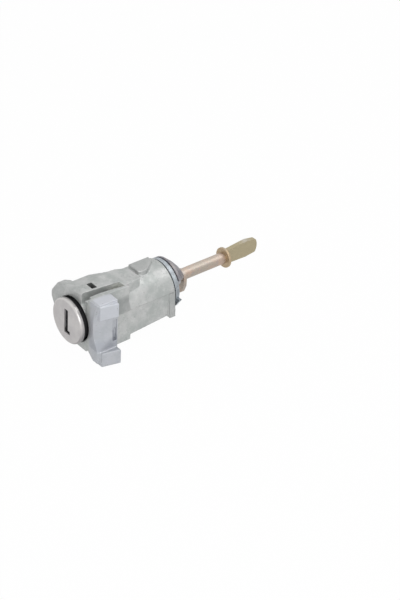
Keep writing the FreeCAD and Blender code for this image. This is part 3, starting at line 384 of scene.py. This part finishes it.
def makeYellowZinc(settings):
    material, look = newFinish("yellowZinc")
    shift, wave, fine = [look.noise(*settings[name]) for name in ("shift", "wave", "fine")]
    colour = look.mixed(look.step(shift, *settings["pinkSpan"]) * settings["pinkShare"],
                        settings["beige"], settings["pink"])
    colour = look.mixed(look.step(wave, *settings["violetSpan"]) * settings["violetShare"],
                        colour, settings["violet"])
    for length in settings["lengths"]:
        colour = look.marked(colour, length)
    # painted highlights on the flat end's upper edge and along the rod's top
    edgeHighlight = settings["edgeHighlight"]
    upper = look.step(look.along("Z") + wave * mm, edgeHighlight["start"] * mm, edgeHighlight["full"] * mm)
    colour = look.marked(colour, edgeHighlight, upper)
    colour = look.marked(colour, settings["rodHighlight"])
    colour = look.specked(colour, settings["specks"])
    look.surface(Base_Color=colour, Metallic=settings["metal"],
                 Roughness=look.step(fine, *noiseSpan, *settings["rough"]),
                 Normal=look.bump(fine, smoothGrain))
    return material


finishes = {
    "zinc_casting": makeCasting(casting),
    "cap_steel": makeSteel("capSteel", capSteel),
    "ring_steel": makeSteel("ringSteel", ringSteel),
    "cone_steel": makeSteel("coneSteel", coneSteel),
    "spring_steel": makeSteel("springSteel", springSteel),
    "plug_zinc": makeSteel("plugZinc", plugZinc),
    "wafer_brass": makeSteel("waferBrass", waferBrass),
    "yellow_zinc": makeYellowZinc(yellowZinc),
}
for part in frame["record"]["subparts"]:
    mesh = nodes[part["node"]].data
    mesh.materials.clear()
    mesh.materials.append(finishes[part["material_slot"]])
print("finishes made:", len(finishes))


def deselectAll():
    bpy.ops.object.select_all(action="DESELECT")


def looseCopy(node, name):
    deselectAll()
    copy = node.copy()
    copy.data = node.data.copy()
    copy.name = name
    copy.parent = None
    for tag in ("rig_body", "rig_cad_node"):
        del copy[tag]
    bpy.context.scene.collection.objects.link(copy)
    copy.select_set(True)
    bpy.context.view_layer.objects.active = copy
    return copy


def applied(piece, kind, **values):
    modifier = piece.modifiers.new("applied", kind)
    for name, value in values.items():
        setattr(modifier, name, value)
    bpy.ops.object.modifier_apply(modifier="applied")


# the wing's hollow side and the fin's rear corner run out softly to the faces beside them
softCast = {"merge": 0.001, "voxel": 0.16, "factor": 0.5, "passes": 3, "share": 0.36,
            "soft": [{"low": (11.5, 0.7, -9.5), "high": (15.6, 8.3, 0.5), "passes": 110},
                     {"low": (-1.6, 32.2, 9.5), "high": (5.5, 38.4, 12.6), "passes": 140}]}


def softCopy(node, name, settings):
    copy = looseCopy(node, name)
    bpy.ops.object.mode_set(mode="EDIT")
    bpy.ops.mesh.select_all(action="SELECT")
    bpy.ops.mesh.remove_doubles(threshold=settings["merge"] * mm)
    bpy.ops.object.mode_set(mode="OBJECT")
    applied(copy, "REMESH", mode="VOXEL", voxel_size=settings["voxel"] * mm)
    applied(copy, "SMOOTH", factor=settings["factor"], iterations=settings["passes"])
    for spot in settings["soft"]:
        group = copy.vertex_groups.new(name="spot")
        chosen = [dot.index for dot in copy.data.vertices if all(
            low * mm < part < high * mm
            for low, part, high in zip(spot["low"], dot.co, spot["high"]))]
        group.add(chosen, 1.0, "REPLACE")
        applied(copy, "SMOOTH", vertex_group="spot", factor=settings["factor"],
                iterations=spot["passes"])
        copy.vertex_groups.clear()
    applied(copy, "DECIMATE", ratio=settings["share"])
    bpy.ops.object.shade_smooth()
    return copy


castBody = softCopy(nodes["housing"], "castHousing", softCast)
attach(castBody, "housing")
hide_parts("housing")
print("housing softened:", len(castBody.data.polygons), "faces")


# each spring is copied onto the plug's body in place of its node, and its travel, in mm, is given
# with its slide joint; the copy keeps its shape
pressed = {"clutch_spring": {"joint": "clutch_slide", "travel": 1.3}}
for number in range(1, 9):
    pressed["wafer_spring_%d" % number] = {"joint": "wafer_%d_slide" % number, "travel": 1.0}


def makePressed(name, settings):
    axis = Vector(joints[settings["joint"]]["axis"])
    low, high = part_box(name)
    spring = looseCopy(nodes[name], name + "_pressed")
    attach(spring, "plug")
    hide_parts(name)
    length = abs((Vector(high) - Vector(low)).dot(axis))
    # the share of the spring's length left after the travel is worked out here, but nothing uses
    # it
    1 - settings["travel"] * mm / length
    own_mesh(spring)


for name, settings in pressed.items():
    makePressed(name, settings)
print("springs that give way:", len(pressed))


# places are in m, powers in W
studio = {"floor": rgb(240, 240, 240), "floorSize": 6, "floorMiddle": (0, 0.04),
          "floorGap": 0.0002, "white": (1, 1, 1, 1), "whiteShare": 0.98, "sky": 0.50,
          "aim": (0, 0.03, 0),
          "lamps": {"key": {"place": (0.13, 0.36, 0.50), "power": 0.68, "size": 0.42},
                    "fill": {"place": (0.45, -0.25, 0.30), "power": 1.45, "size": 0.40},
                    "rim": {"place": (-0.25, 0.35, 0.45), "power": 0.1, "size": 0.35}}}


def seenDirectly(look):
    rays = [look.node("ShaderNodeLightPath", out=name) for name in
            ("Is Camera Ray", "Is Glossy Ray", "Is Transmission Ray")]
    return look.clamp(rays[0] + rays[1] + rays[2])


def makeFloor(settings):
    deselectAll()
    low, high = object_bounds()
    bpy.ops.mesh.primitive_plane_add(
        size=settings["floorSize"],
        location=(*settings["floorMiddle"], low.z - settings["floorGap"]))
    floor = bpy.context.object
    floor.name = "floor"
    material, look = newFinish("paleFloor")
    dull = look.node("ShaderNodeBsdfDiffuse", {}, {"Color": settings["floor"]})
    white = look.node("ShaderNodeEmission", {}, {"Color": settings["white"], "Strength": 1.0})
    share = seenDirectly(look) * settings["whiteShare"]
    both = look.node("ShaderNodeMixShader", {}, {0: share, 1: dull, 2: white})
    look.node("ShaderNodeOutputMaterial", {}, {"Surface": both})
    floor.data.materials.append(material)
    floor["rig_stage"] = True


def makeLight(settings):
    world = bpy.data.worlds.new("studio")
    bpy.context.scene.world = world
    world.use_nodes = True
    look = Finish(world.node_tree)
    strength = look.node("ShaderNodeMapRange", {}, {
        "Value": seenDirectly(look), "To Min": settings["sky"], "To Max": 1.0})
    sky = look.node("ShaderNodeBackground", {}, {
        "Color": settings["white"], "Strength": strength})
    look.node("ShaderNodeOutputWorld", {}, {"Surface": sky})
    for name, lampSettings in settings["lamps"].items():
        light = bpy.data.lights.new(name, "AREA")
        light.shape = "DISK"
        light.size = lampSettings["size"]
        light.energy = lampSettings["power"]
        lamp = bpy.data.objects.new(name, light)
        lamp.location = lampSettings["place"]
        ahead = Vector(settings["aim"]) - lamp.location
        lamp.rotation_euler = ahead.to_track_quat("-Z", "Y").to_euler()
        bpy.context.scene.collection.objects.link(lamp)


# place, sensor and lens are in mm, turn is in degrees
shot = {"place": (371.874, -266.950, 325.244), "turn": (55.4215, -3.0025, 50.5965),
        "lens": 90.4726, "sensor": 36, "near": 0.01, "far": 20}


def makeCamera(settings):
    lens = bpy.data.cameras.new("photo")
    lens.sensor_width = settings["sensor"]
    lens.lens = settings["lens"]
    lens.clip_start = settings["near"]
    lens.clip_end = settings["far"]
    camera = bpy.data.objects.new("photo", lens)
    camera.location = Vector(settings["place"]) * mm
    camera.rotation_euler = [math.radians(part) for part in settings["turn"]]
    bpy.context.scene.collection.objects.link(camera)
    bpy.context.scene.camera = camera


makeFloor(studio)
makeLight(studio)
makeCamera(shot)
bpy.context.scene.view_settings.view_transform = "Standard"
print("studio and camera set")
